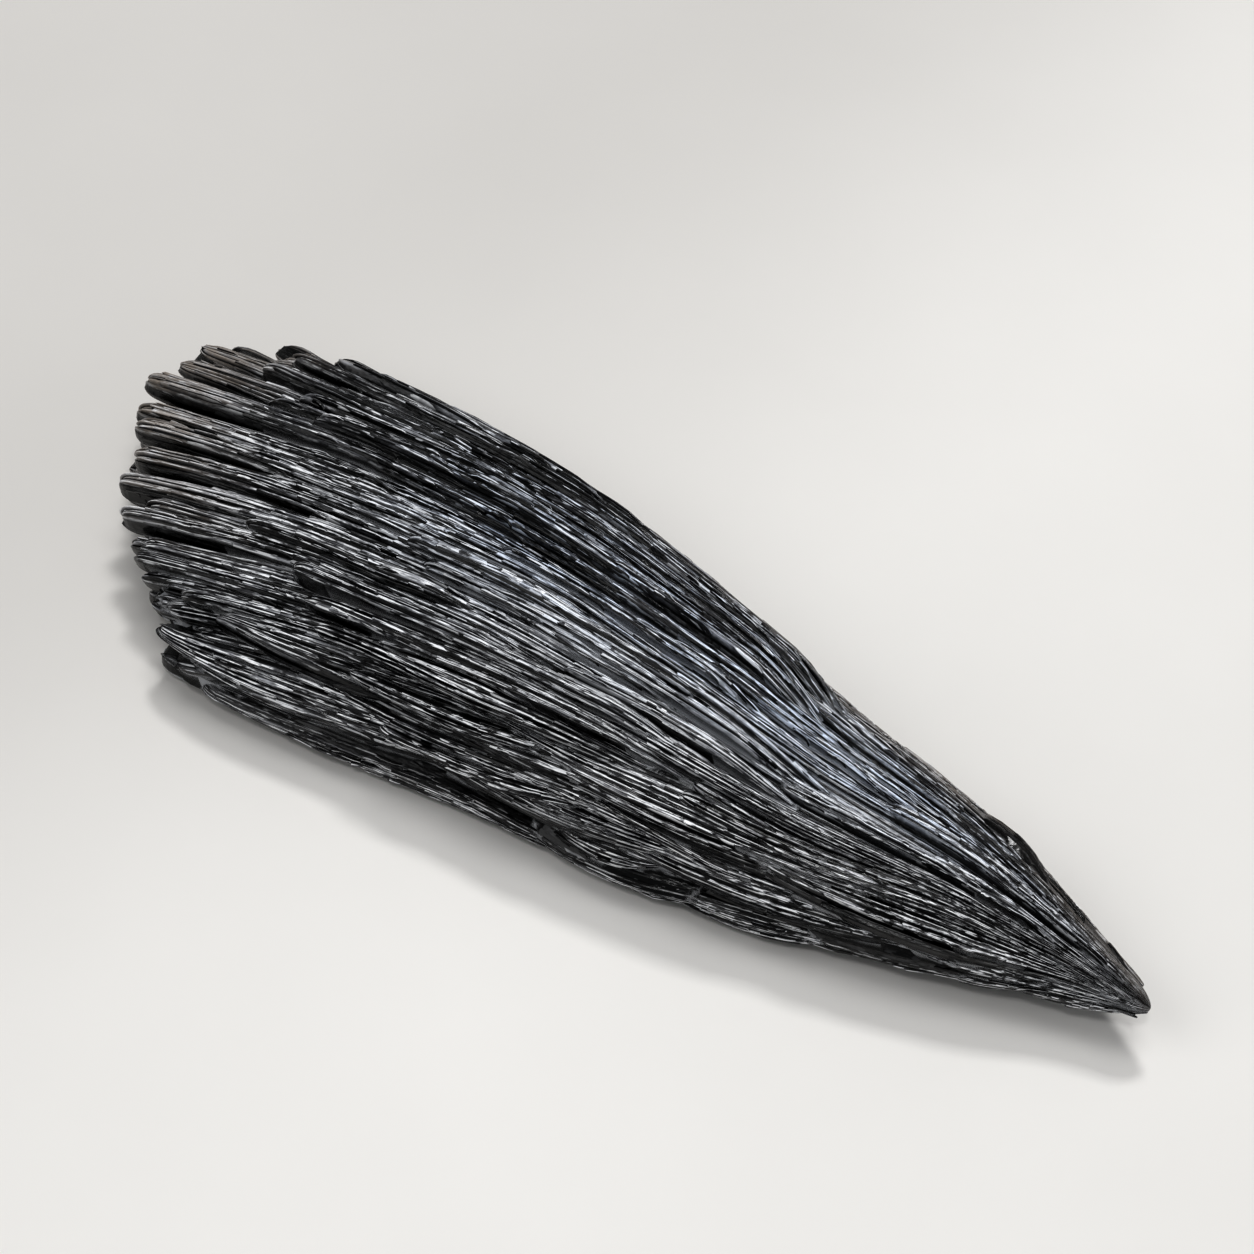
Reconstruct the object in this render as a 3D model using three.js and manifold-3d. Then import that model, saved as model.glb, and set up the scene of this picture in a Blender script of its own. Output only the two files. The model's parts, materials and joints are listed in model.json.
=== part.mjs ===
// Black kyanite fan: one specimen of intergrown bladed crystals that spread from a narrow
// tip into a wide fan. Millimetres, +Z up. +X points to the tip, -X to the end of the fan,
// and the specimen lies on its belly on the plane z = 0.
//
// The crystals grew through each other, so the whole fan is one solid: a filled heart
// joined with every blade that shows on its surface.

import * as THREE from "three";
import { mergeVertices } from "three/addons/utils/BufferGeometryUtils.js";
import Module from "manifold-3d";

const wasm = await Module();
wasm.setup();

// ---------------------------------------------------------------- driving dimensions

const TIP_X = 50; // the sharp end
const FAN_X = -52; // the farthest blade of the fan
const STATION_STEP = 14; // spacing of the sections along a blade
const RIB_DEPTH = 3.2; // how far a surface blade reaches into the body
const RIB_RELIEF = 0.5; // how much neighbouring blades differ in height
const HEART_INSET = 0.9; // the heart stays this far inside the outline
const SEED = 20;

// Outline seen from above, as [x, y] points on smooth curves.
const BACK_EDGE = [
  [-50, 15], [-44, 16.8], [-36, 17], [-24, 16.4], [-10, 13.6],
  [8, 7.1], [20, 2.6], [34, -2.2], [42, -6.2], [50, -10.4],
];
const FRONT_EDGE = [
  [-50, -13.6], [-40, -16.4], [-31, -17.8], [-18, -17.6], [-8, -17.2], [4, -18],
  [20, -17], [35, -14.6], [44, -12.8], [50, -12],
];
// Where the blades stop at the wide end, as [y, x].
const FAN_END = [
  [-20, -27], [-17, -33], [-13, -37.8], [-9, -41.6], [-5, -45], [0, -48.8],
  [5, -51], [9, -51.6], [13, -50.4], [16, -48.2], [19, -44.6],
];
// The outermost flow lines of the growth: blades follow these and every line between.
const BACK_FLOW = [
  [-50, 24.5], [-24, 19.2], [-10, 15.2], [8, 8.2], [20, 3.2], [34, -1.8], [42, -6], [50, -10.4],
];
const FRONT_FLOW = [
  [-50, -22.6], [-30, -19.8], [-10, -18.6], [4, -18.6], [20, -18], [35, -14.8], [44, -13], [50, -12.4],
];
// Heights along the length, as [x, z].
const CREST = [
  [-50, 6.8], [-40, 8.8], [-25, 11], [-5, 12.8], [12, 12.6], [30, 10], [42, 7.4], [50, 5.4],
];
const BACK_SHOULDER = [[-50, 4.2], [-25, 4.8], [0, 5.2], [25, 5.2], [50, 4.8]];
const FRONT_SHOULDER = [[-50, 3.4], [-25, 2.6], [0, 2.4], [25, 3], [40, 3.9], [50, 4.6]];
const BELLY = [
  [-50, 2.0], [-40, 0.7], [-25, -0.5], [0, -0.6], [20, -0.5], [32, 0.7], [42, 2.4], [50, 3.8],
];

// Ribs of the base layer, by where they lie: how many, where they start, and how high.
const RIB_ROWS = [
  { place: "top", count: 16, starts: [49, 26, 38, 14] },
  { place: "bottom", count: 10, starts: [48, 22, 34] },
  { place: "heart", count: 11, starts: [-22], level: 0.64 },
  { place: "heart", count: 9, starts: [-20], level: 0.34 },
];

// Raised sheaves on the top: a few ribs side by side whose ends step back one by one.
// flow: the first rib's flow line, turn: the step to the next one, end: where the first rib
// stops, back: how much sooner each next one stops, start: where the sheaf comes out of the
// body, lift: its height over the base layer.
const SHEAVES = [
  { flow: 0.74, turn: -0.1, count: 5, end: -44.5, back: 2.6, start: 27, lift: 1.0 },
  { flow: -0.44, turn: -0.1, count: 3, end: -25.5, back: 1.5, start: 16, lift: 1.2 },
  { flow: -0.08, turn: -0.09, count: 2, end: -19, back: 3, start: 30, lift: 0.7 },
  { flow: -0.74, turn: -0.11, count: 2, end: -17, back: 4, start: 12, lift: 0.9 },
];
// The front group of ribs lies lower than the rest, across this step.
const STEP_FLOW = -0.36;
const STEP_DROP = 1.3;

// Blades along the two edges, as [start, end, level, bulge].
const FRONT_BLADES = [
  [50, 38, -0.1, 0.4], [46, 29, 0.1, 0.7], [44, 18, -0.5, 0.4], [27, 12, 0, 0.7],
  [18, -2, -0.3, 1.0], [14, -17, 0.5, 0.5], [4, -31, -0.1, 0.5], [-4, -33, -0.6, 0.4],
  [-8, -36, 0.5, 0.4],
];
const BACK_BLADES = [
  [50, 39, 0.1, 0.7], [43, 28, 0.1, 1.2], [32, 17, 0, 1.2], [24, -4, 0.2, 0.6],
  [25, -10, -0.5, 0.4], [4, -34.5, 0.1, 0.7], [-4, -30, -0.5, 0.4], [-12, -44, 0.5, 0.4],
  [-14, -43, -0.2, 0.3],
];

// ---------------------------------------------------------------- small helpers

const clamp = (v, low, high) => Math.min(Math.max(v, low), high);
const mix = (a, b, t) => a + (b - a) * t;
const smooth = (a, b, v) => {
  const t = clamp((v - a) / (b - a), 0, 1);
  return t * t * (3 - 2 * t);
};

// A repeatable stream of numbers from 0 to 1.
function randomStream(seed) {
  let state = seed >>> 0;
  return () => {
    state = (state + 0x6d2b79f5) >>> 0;
    let t = state;
    t = Math.imul(t ^ (t >>> 15), t | 1);
    t ^= t + Math.imul(t ^ (t >>> 7), t | 61);
    return ((t ^ (t >>> 14)) >>> 0) / 4294967296;
  };
}

// A smooth function through [position, value] points in rising order of position.
function curveThrough(points) {
  const last = points.length - 1;
  const slope = (i) => {
    const a = points[Math.max(i - 1, 0)];
    const b = points[Math.min(i + 1, last)];
    return (b[1] - a[1]) / (b[0] - a[0]);
  };
  return (at) => {
    let i = 0;
    while (i < last - 1 && at > points[i + 1][0]) i += 1;
    const [x0, y0] = points[i];
    const [x1, y1] = points[i + 1];
    const h = x1 - x0;
    const t = clamp((at - x0) / h, 0, 1);
    const t2 = t * t;
    const t3 = t2 * t;
    return (
      (2 * t3 - 3 * t2 + 1) * y0 +
      (t3 - 2 * t2 + t) * h * slope(i) +
      (3 * t2 - 2 * t3) * y1 +
      (t3 - t2) * h * slope(i + 1)
    );
  };
}

const backEdge = curveThrough(BACK_EDGE);
const frontEdge = curveThrough(FRONT_EDGE);
const fanEnd = curveThrough(FAN_END);
const backFlow = curveThrough(BACK_FLOW);
const frontFlow = curveThrough(FRONT_FLOW);
const crest = curveThrough(CREST);
const backShoulder = curveThrough(BACK_SHOULDER);
const frontShoulder = curveThrough(FRONT_SHOULDER);
const belly = curveThrough(BELLY);

// ---------------------------------------------------------------- the body's surface

const flowY = (x, flow) => mix(frontFlow(x), backFlow(x), (flow + 1) / 2);
const flowWidth = (x) => backFlow(x) - frontFlow(x);

// Place across the body, -1 at the front edge and 1 at the back edge.
function across(x, y) {
  const middle = (backEdge(x) + frontEdge(x)) / 2;
  const half = (backEdge(x) - frontEdge(x)) / 2;
  return clamp((y - middle) / half, -0.995, 0.995);
}

const shoulder = (x, e) => mix(frontShoulder(x), backShoulder(x), (e + 1) / 2);

// The front flank is steep and the back flank is gentle.
function topZ(x, y) {
  const e = across(x, y);
  const fall = e < 0 ? (1 - Math.abs(e) ** 3.4) ** 0.62 : (1 - e ** 2.2) ** 0.8;
  return shoulder(x, e) + (crest(x) - shoulder(x, e)) * fall;
}

function bottomZ(x, y) {
  const e = across(x, y);
  const fall = (1 - Math.abs(e) ** 3) ** 0.6;
  return shoulder(x, e) - (shoulder(x, e) - belly(x)) * fall;
}

// Unit normal of the top or the bottom at a place, from small differences.
function surfaceNormal(height, x, y, up) {
  const d = 0.4;
  const dx = (height(x + d, y) - height(x - d, y)) / (2 * d);
  const dy = (height(x, y + d) - height(x, y - d)) / (2 * d);
  return new THREE.Vector3(-dx, -clamp(dy, -2.5, 2.5), 1).normalize().multiplyScalar(up);
}

// ---------------------------------------------------------------- blades

// The ways a blade can lie: on the top, on the bottom, in the heart or along an edge.
const PLACES = {
  top: (x, b) => {
    const y = flowY(x, b.flow);
    return { point: new THREE.Vector3(x, y, topZ(x, y)), out: surfaceNormal(topZ, x, y, 1) };
  },
  bottom: (x, b) => {
    const y = flowY(x, b.flow);
    return {
      point: new THREE.Vector3(x, y, bottomZ(x, y)),
      out: surfaceNormal(bottomZ, x, y, -1),
    };
  },
  heart: (x, b) => {
    const y = flowY(x, b.flow);
    const z = mix(bottomZ(x, y), topZ(x, y), b.level);
    return { point: new THREE.Vector3(x, y, z), out: new THREE.Vector3(0, 0, 1) };
  },
  front: (x, b) => edgePlace(x, b, -1),
  back: (x, b) => edgePlace(x, b, 1),
};

// A blade along an edge bulges out in its middle. Its level is -1 below to 1 above.
function edgePlace(x, b, side) {
  const t = clamp((b.start - x) / (b.start - b.end), 0, 1);
  const bulge = b.bulge * (Math.sin(Math.PI * t) - 0.5);
  const half = (backEdge(x) - frontEdge(x)) / 2;
  const middle = (backEdge(x) + frontEdge(x)) / 2;
  const y = middle + side * half * (0.99 - 0.3 * b.level ** 2);
  const z = b.level > 0 ? topZ(x, y) : bottomZ(x, y);
  const tilt = b.level * 1.5;
  const out = new THREE.Vector3(0, side * Math.cos(tilt), Math.sin(tilt));
  return { point: new THREE.Vector3(x, y, z).addScaledVector(out, bulge), out };
}

// The x where a flow line runs out of the outline.
function flowEnd(flow) {
  for (let x = 30; x > FAN_X; x -= 0.5) {
    const y = flowY(x, flow);
    const outside = y > backEdge(x) - 0.5 || y < frontEdge(x) + 0.5;
    if (outside || x < fanEnd(y)) return x;
  }
  return FAN_X;
}

// A blade's section as [across, out] shares of its width and depth.
const RIB_SECTION = [[-0.5, -0.28], [-0.3, 0], [0.26, -0.03], [0.5, -0.26], [0, -1]];

// Sections of one blade from its start near the tip to its end in the fan.
function bladeSections(b) {
  const length = b.start - b.end;
  const steps = Math.max(3, Math.round(length / STATION_STEP));
  const stations = [];
  for (let i = 0; i <= steps; i += 1) stations.push(mix(b.start, b.end + 1.2, i / steps));
  stations.push(b.end);
  return stations.map((x, i) => {
    const { point, out } = PLACES[b.place](x, b);
    const along = PLACES[b.place](x - 0.5, b).point.sub(point).normalize();
    const side = new THREE.Vector3().crossVectors(out, along).normalize();
    const up = new THREE.Vector3().crossVectors(along, side).normalize();
    const t = (b.start - x) / length;
    const isEnd = i === stations.length - 1;
    const rise = b.dive ? smooth(0, b.dive, b.start - x) : 1;
    const taper = b.lens
      ? 0.25 + 0.75 * Math.sin(Math.PI * clamp(t, 0.06, 0.94))
      : Math.max(0.16, (flowWidth(x) / flowWidth(b.end)) ** 0.85);
    const thickness = crest(x) - belly(x);
    const widest = b.lens ? Math.min(b.width, thickness * 0.6) : b.width;
    const width = widest * taper * mix(0.35, 1, rise) * (isEnd ? 0.62 : 1);
    const room = b.lens ? thickness * 0.75 : topZ(x, point.y) - bottomZ(x, point.y);
    const depth = Math.min(b.depth, room * 0.6) * (isEnd ? 0.8 : 1);
    const drop = b.drop * smooth(-8, -26, x);
    const height = b.lift * rise - drop - (1 - rise) * 1.6 - (isEnd ? 0.5 : 0);
    return RIB_SECTION.map(([s, h]) =>
      point
        .clone()
        .addScaledVector(side, s * width)
        .addScaledVector(up, height + h * depth),
    );
  });
}

function ribs(random) {
  const spread = (amount) => (random() * 2 - 1) * amount;
  return RIB_ROWS.flatMap((row) =>
    Array.from({ length: row.count }, (_, i) => {
      const flow = ((i + 0.5) / row.count) * 2 - 1 + spread(0.3 / row.count);
      const end = flowEnd(flow) + random() * 1.4;
      const start = Math.min(row.starts[i % row.starts.length] + spread(2), TIP_X - 0.6);
      return {
        place: row.place,
        flow,
        level: row.level,
        start,
        end,
        width: (flowWidth(end) / row.count) * (1.25 + spread(0.2)),
        depth: RIB_DEPTH,
        lift: row.place === "heart" ? 0 : spread(RIB_RELIEF),
        drop: row.place === "top" && flow < STEP_FLOW ? STEP_DROP : 0,
        dive: start > 45 ? 0 : 12,
      };
    }).filter((b) => b.start - b.end > 12),
  );
}

function sheafBlades(random) {
  const spread = (amount) => (random() * 2 - 1) * amount;
  return SHEAVES.flatMap((sheaf) =>
    Array.from({ length: sheaf.count }, (_, i) => {
      const flow = sheaf.flow + sheaf.turn * i;
      const end = Math.max(sheaf.end + sheaf.back * i + spread(0.8), flowEnd(flow));
      return {
        place: "top",
        flow,
        start: sheaf.start + spread(3),
        end,
        width: flowWidth(end) * Math.abs(sheaf.turn) * 0.62,
        depth: RIB_DEPTH,
        lift: sheaf.lift + spread(0.2),
        drop: 0,
        dive: 16,
      };
    }),
  );
}

function edgeBlades(place, table) {
  return table.map(([start, end, level, bulge]) => ({
    place,
    start,
    end,
    level,
    bulge,
    width: 4.4,
    depth: 3.6,
    lift: 0,
    drop: 0,
    dive: 0,
    lens: true,
  }));
}

// ---------------------------------------------------------------- solids

function solidFrom(positions, indices) {
  return new wasm.Manifold(
    new wasm.Mesh({
      numProp: 3,
      vertProperties: new Float32Array(positions),
      triVerts: new Uint32Array(indices),
    }),
  );
}

// A closed solid through sections that all have the same number of points.
function loft(sections) {
  const count = sections[0].length;
  const positions = sections.flat().flatMap((p) => [p.x, p.y, p.z]);
  const faces = [];
  const last = (sections.length - 1) * count;
  for (let s = 0; s < sections.length - 1; s += 1) {
    for (let i = 0; i < count; i += 1) {
      const a = s * count + i;
      const b = s * count + ((i + 1) % count);
      faces.push(a, b, b + count, a, b + count, a + count);
    }
  }
  for (let i = 1; i < count - 1; i += 1) {
    faces.push(0, i + 1, i);
    faces.push(last, last + i, last + i + 1);
  }
  const made = solidFrom(positions, faces);
  return made.volume() > 0 ? made : solidFrom(positions, faces.reverse());
}

// The solid that fills the space between the blades.
function heart() {
  const corners = 16;
  const steps = 12;
  const sections = Array.from({ length: steps + 1 }, (_, k) => {
    const x = mix(TIP_X - 0.8, FAN_X + 6, k / steps);
    const front = frontEdge(x) + 8 * smooth(-28, -46, x);
    const back = backEdge(x) - 3 * smooth(-34, -46, x);
    const half = (back - front) / 2;
    const inset = Math.min(HEART_INSET, half * 0.35);
    return Array.from({ length: corners }, (_, i) => {
      const turn = (i / corners) * Math.PI * 2;
      const y = (back + front) / 2 + (half - inset) * Math.cos(turn);
      const room = topZ(x, y) - bottomZ(x, y);
      const skin = Math.min(y < flowY(x, STEP_FLOW) ? 2 : 1.2, room * 0.28);
      const share = clamp(Math.sin(turn) * 0.8 + 0.5, 0, 1);
      return new THREE.Vector3(x, y, mix(bottomZ(x, y) + skin, topZ(x, y) - skin, share));
    });
  });
  return loft(sections);
}

// Everything under the plane that the specimen lies on.
function ground() {
  const slab = new THREE.BoxGeometry(140, 80, 20).translate(0, 0, -10);
  slab.deleteAttribute("normal");
  slab.deleteAttribute("uv");
  const merged = mergeVertices(slab);
  return solidFrom(merged.attributes.position.array, merged.index.array);
}

// Keeps only the outer skin of a joined solid, so that gaps sealed inside it are stone.
function outerSkin(positions, faces) {
  const leader = Array.from({ length: positions.length / 3 }, (_, i) => i);
  const find = (v) => {
    let top = v;
    while (leader[top] !== top) {
      leader[top] = leader[leader[top]];
      top = leader[top];
    }
    return top;
  };
  for (let i = 0; i < faces.length; i += 3) {
    leader[find(faces[i])] = find(faces[i + 1]);
    leader[find(faces[i + 1])] = find(faces[i + 2]);
  }
  let tip = 0;
  for (let i = 0; i < leader.length; i += 1) {
    if (positions[i * 3] > positions[tip * 3]) tip = i;
  }
  const kept = [];
  for (let i = 0; i < faces.length; i += 3) {
    if (find(faces[i]) === find(tip)) kept.push(faces[i], faces[i + 1], faces[i + 2]);
  }
  return kept;
}

function toMesh(solid, name, material) {
  const { numProp, vertProperties, triVerts } = solid.getMesh();
  const positions = new Float32Array((vertProperties.length / numProp) * 3);
  for (let i = 0; i < positions.length / 3; i += 1) {
    positions.set(vertProperties.subarray(i * numProp, i * numProp + 3), i * 3);
  }
  const geometry = new THREE.BufferGeometry();
  geometry.setAttribute("position", new THREE.BufferAttribute(positions, 3));
  geometry.setIndex(outerSkin(positions, triVerts));
  const mesh = new THREE.Mesh(geometry, material);
  mesh.name = name;
  return mesh;
}

// ---------------------------------------------------------------- the specimen

const random = randomStream(SEED);
const blades = [
  ...ribs(random),
  ...sheafBlades(random),
  ...edgeBlades("front", FRONT_BLADES),
  ...edgeBlades("back", BACK_BLADES),
];
const grown = blades.reduce((joined, b) => joined.add(loft(bladeSections(b))), heart());
const kyanite = new THREE.MeshStandardMaterial({ color: 0x26272b, roughness: 0.42, metalness: 0 });

const fan = toMesh(grown.subtract(ground()), "kyanite_fan", kyanite);

// The origin is under the middle of the specimen, on the plane that it lies on.
const middle = new THREE.Box3().setFromObject(fan).getCenter(new THREE.Vector3());
fan.position.set(-middle.x, -middle.y, 0);

const specimen = new THREE.Group();
specimen.add(fan);
export default specimen;
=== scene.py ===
"""Black kyanite fan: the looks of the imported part. One specimen of intergrown bladed crystals,
lying on a pale floor in soft light. Blender 4.5.

The shape is worked out in millimetres, +X towards the tip and +Z up. It follows the CAD part's
layout of blades and adds finer ones. Each blade is a loft with fine strands along it, all of
them are joined into one solid, thin flat crystals lie on top, and the whole is fitted to the
CAD part's box."""

import json
import math

import bmesh
import bpy
import numpy as np
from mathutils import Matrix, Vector

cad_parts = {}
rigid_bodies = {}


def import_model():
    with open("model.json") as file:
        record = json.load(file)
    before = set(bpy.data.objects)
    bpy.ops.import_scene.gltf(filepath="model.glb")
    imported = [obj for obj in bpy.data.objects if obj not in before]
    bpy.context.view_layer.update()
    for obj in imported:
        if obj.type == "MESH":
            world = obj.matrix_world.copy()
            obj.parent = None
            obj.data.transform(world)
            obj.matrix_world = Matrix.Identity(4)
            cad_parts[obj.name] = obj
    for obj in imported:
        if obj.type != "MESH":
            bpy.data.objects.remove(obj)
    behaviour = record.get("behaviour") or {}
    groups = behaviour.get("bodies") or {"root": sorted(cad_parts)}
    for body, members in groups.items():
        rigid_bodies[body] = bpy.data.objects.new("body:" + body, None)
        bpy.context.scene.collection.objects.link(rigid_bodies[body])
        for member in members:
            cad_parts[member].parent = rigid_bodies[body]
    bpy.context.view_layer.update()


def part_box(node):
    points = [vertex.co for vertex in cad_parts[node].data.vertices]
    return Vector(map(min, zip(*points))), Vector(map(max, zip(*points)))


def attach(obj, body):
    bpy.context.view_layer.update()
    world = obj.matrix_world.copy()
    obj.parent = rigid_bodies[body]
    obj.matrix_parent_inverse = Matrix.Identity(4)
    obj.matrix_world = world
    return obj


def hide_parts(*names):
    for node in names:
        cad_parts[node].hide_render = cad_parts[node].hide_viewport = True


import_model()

MM = 0.001

# ---------- dimensions, as in the CAD part

TIP_X = 50.0  # the sharp end
FAN_X = -52.0  # the farthest blade of the fan
RIB_DEPTH = 3.2  # how far a surface blade reaches into the body
RIB_RELIEF = 0.5  # how much neighbouring blades differ in height
HEART_INSET = 0.9  # the heart stays this far inside the outline
SEED = 20

# Outline seen from above, as (x, y) points on smooth curves.
BACK_EDGE = [
    (-50, 15), (-44, 16.8), (-36, 17), (-24, 16.4), (-10, 13.6),
    (8, 7.1), (20, 2.6), (34, -2.2), (42, -6.2), (50, -10.4),
]
FRONT_EDGE = [
    (-50, -13.6), (-40, -16.4), (-31, -17.8), (-18, -17.6), (-8, -17.2), (4, -18),
    (20, -17), (35, -14.6), (44, -12.8), (50, -12),
]
# Where the blades stop at the wide end, as (y, x).
FAN_END = [
    (-20, -27), (-17, -33), (-13, -37.8), (-9, -41.6), (-5, -45), (0, -48.8),
    (5, -51), (9, -51.6), (13, -50.4), (16, -48.2), (19, -44.6),
]
# The outermost flow lines of the growth, at flow 1 and -1: blades follow every line between.
BACK_FLOW = [
    (-50, 24.5), (-24, 19.2), (-10, 15.2), (8, 8.2), (20, 3.2), (34, -1.8), (42, -6), (50, -10.4),
]
FRONT_FLOW = [
    (-50, -22.6), (-30, -19.8), (-10, -18.6), (4, -18.6), (20, -18), (35, -14.8), (44, -13),
    (50, -12.4),
]
# Heights along the length, as (x, z). The belly lies a little higher than the CAD part's.
CREST = [
    (-50, 6.8), (-40, 8.8), (-25, 11), (-5, 12.8), (12, 12.6), (30, 10), (42, 7.4), (50, 5.4),
]
BACK_SHOULDER = [(-50, 4.2), (-25, 4.8), (0, 5.2), (25, 5.2), (50, 4.8)]
FRONT_SHOULDER = [(-50, 3.4), (-25, 2.6), (0, 2.4), (25, 3), (40, 3.9), (50, 4.6)]
BELLY = [
    (-50, 2.0), (-40, 0.9), (-25, 0.35), (0, 0.3), (20, 0.35), (32, 0.9), (42, 2.4), (50, 3.8),
]

# Ribs of the base layer, by where they lie: how many, where they start, and how high.
RIB_ROWS = [
    dict(place="top", count=16, starts=(49, 26, 38, 14)),
    dict(place="bottom", count=10, starts=(48, 22, 34)),
    dict(place="heart", count=11, starts=(-22,), level=0.64),
    dict(place="heart", count=9, starts=(-20,), level=0.34),
]

# Raised sheaves on the top: a few ribs side by side whose ends step back one by one.
# flow: the first rib's flow line, turn: the step to the next one, end: where the first rib
# stops, back: how much sooner each next one stops, start: where the sheaf comes out of the
# body, lift: its height over the base layer.
SHEAVES = [
    dict(flow=0.74, turn=-0.1, count=5, end=-44.5, back=2.6, start=27, lift=1.0),
    dict(flow=-0.44, turn=-0.1, count=3, end=-25.5, back=1.5, start=16, lift=1.2),
    dict(flow=-0.08, turn=-0.09, count=2, end=-19, back=3, start=30, lift=0.7),
    dict(flow=-0.74, turn=-0.11, count=2, end=-17, back=4, start=12, lift=0.9),
]
# The front group of ribs lies lower than the rest, across this step.
STEP_FLOW = -0.36
STEP_DROP = 1.3

# Blades along the two edges, as (start, end, level, bulge). The level is -1 below to 1 above.
FRONT_BLADES = [
    (50, 38, -0.1, 0.4), (46, 29, 0.1, 0.7), (44, 18, -0.5, 0.4), (27, 12, 0, 0.7),
    (18, -2, -0.3, 1.0), (14, -17, 0.5, 0.5), (4, -31, -0.1, 0.5), (-4, -33, -0.6, 0.4),
    (-8, -36, 0.5, 0.4),
]
BACK_BLADES = [
    (50, 39, 0.1, 0.7), (43, 28, 0.1, 1.2), (32, 17, 0, 1.2), (24, -4, 0.2, 0.6),
    (25, -10, -0.5, 0.4), (4, -34.5, 0.1, 0.7), (-4, -30, -0.5, 0.4), (-12, -44, 0.5, 0.4),
    (-14, -43, -0.2, 0.3),
]

# ---------- blades that only the looks have

# Finer blades that clothe the two flanks, as (start, end, level, bulge).
FRONT_FLANK = [
    (49.6, 26, 0.5, 0.2), (47, 14, 0.85, 0.1), (36, 4, 0.5, 0.3), (28, -6, 0.9, 0.1),
    (16, -12, 0.55, 0.4), (10, -20, 0.85, 0.1), (0, -28, 0.5, 0.3), (-6, -31, 0.9, 0.1),
    (-12, -33, 0.45, 0.2), (12, 2, 0.3, 0.3),
]
BACK_FLANK = [
    (49.6, 30, 0.5, 0.2), (44, 14, 0.7, 0.1), (30, 2, 0.5, 0.2), (18, -12, 0.7, 0.1),
    (6, -24, 0.5, 0.2), (-8, -38, 0.7, 0.1), (40, 22, 0.3, 0.4),
]

# Thin blades with blunt heads near the tip, as (flow, start, end, width).
TIP_BLADES = [
    (0.85, 48.8, 24, 2.0), (0.6, 48.4, 29, 2.2), (0.36, 48, 17, 2.4), (0.08, 47.6, 26, 2.4),
    (-0.22, 47.2, 19, 2.4), (-0.55, 46.8, 13, 2.4), (0.7, 46.4, 8, 2.2), (0.2, 46, 4, 2.4),
    (-0.64, 38.8, 12, 2.8), (0.86, 41.4, 18, 2.2),
]

# Thin sheaves that rise out of the ribs, as (flow, start, end, width, lift).
THIN_SHEAVES = [
    (-0.49, 10, -23, 2.4, 1.1), (-0.61, 6, -24.4, 2.2, 0.9), (-0.86, 8, -15.5, 2.0, 0.8),
    (-0.77, 14, -13.5, 1.8, 0.6), (-0.28, -2, -33.2, 2.3, 0.9), (-0.64, -5, -35, 2.4, 1.1),
    (-0.77, -6, -32.4, 2.0, 0.6), (0.36, 0, -39.5, 2.6, 0.6), (0.52, -4, -43, 2.6, 0.9),
    (-0.18, 18, -16.3, 1.8, 0.8), (-0.83, 20, -6.8, 1.8, 0.6), (-0.33, 26, -1.2, 1.6, 0.7),
    (-0.44, 34, 12.8, 1.4, 0.5), (-0.25, 40, 22, 1.3, 0.5), (0.12, 22, -12, 1.8, 0.5),
    (0.45, 24, -4, 1.7, 0.6), (0.2, 34, 8, 1.4, 0.5), (-0.05, 8, -29, 2.0, 0.6),
    (-0.345, 4, -44.4, 3.0, -0.3), (-0.2, 2, -46.9, 2.8, -0.2), (-0.51, 0, -41.4, 2.8, 0.4),
    (-0.44, 2, -43.4, 2.4, 0.1), (-0.25, 46, 34.5, 1.6, 0.1), (0.62, 44, 30, 1.4, 0.1),
    (-0.58, 0, -40.4, 2.6, 0.0),
]

# ---------- small helpers


def smooth(a, b, v):
    t = np.clip((v - a) / (b - a), 0, 1)
    return t * t * (3 - 2 * t)


def mix(a, b, t):
    return a + (b - a) * t


def side_by_side(*values):
    """Numbers spread to one shape and set side by side on a last axis."""
    return np.stack(np.broadcast_arrays(*values), -1)


def random_stream(seed):
    """The same repeatable numbers that the CAD part draws its layout from."""
    state = seed & 0xFFFFFFFF

    def draw():
        nonlocal state
        state = (state + 0x6D2B79F5) & 0xFFFFFFFF
        t = state
        t = ((t ^ (t >> 15)) * (t | 1)) & 0xFFFFFFFF
        t = (t ^ (t + (((t ^ (t >> 7)) * (t | 61)) & 0xFFFFFFFF))) & 0xFFFFFFFF
        return (t ^ (t >> 14)) / 4294967296

    return draw


def curve_through(points):
    """A smooth function through (position, value) points in rising order of position."""
    px = np.array([p[0] for p in points], float)
    py = np.array([p[1] for p in points], float)
    n = len(px)
    lo = np.maximum(np.arange(n) - 1, 0)
    hi = np.minimum(np.arange(n) + 1, n - 1)
    slope = (py[hi] - py[lo]) / (px[hi] - px[lo])

    def at(x):
        x = np.asarray(x, float)
        i = np.clip(np.searchsorted(px, x, side="left") - 1, 0, n - 2)
        h = px[i + 1] - px[i]
        t = np.clip((x - px[i]) / h, 0, 1)
        t2, t3 = t * t, t * t * t
        return (
            (2 * t3 - 3 * t2 + 1) * py[i]
            + (t3 - 2 * t2 + t) * h * slope[i]
            + (3 * t2 - 2 * t3) * py[i + 1]
            + (t3 - t2) * h * slope[i + 1]
        )

    return at


back_edge, front_edge, fan_end, back_flow, front_flow = map(
    curve_through, (BACK_EDGE, FRONT_EDGE, FAN_END, BACK_FLOW, FRONT_FLOW))
crest, back_shoulder, front_shoulder, belly = map(
    curve_through, (CREST, BACK_SHOULDER, FRONT_SHOULDER, BELLY))

# ---------- the body's surface


EDGE_LIMIT = 0.995  # how near to an edge the surface is worked out
SLOPE_STEP = 0.4  # mm between which a slope is measured, to each side
STEEPEST = 2.5
EDGE_REACH = 0.99  # where an edge's blades lie, as a share of the half width
EDGE_TUCK = 0.3  # how much farther in those above and below lie
EDGE_FAN_OUT = 1.5  # how far those are turned up or down, in radians


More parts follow.
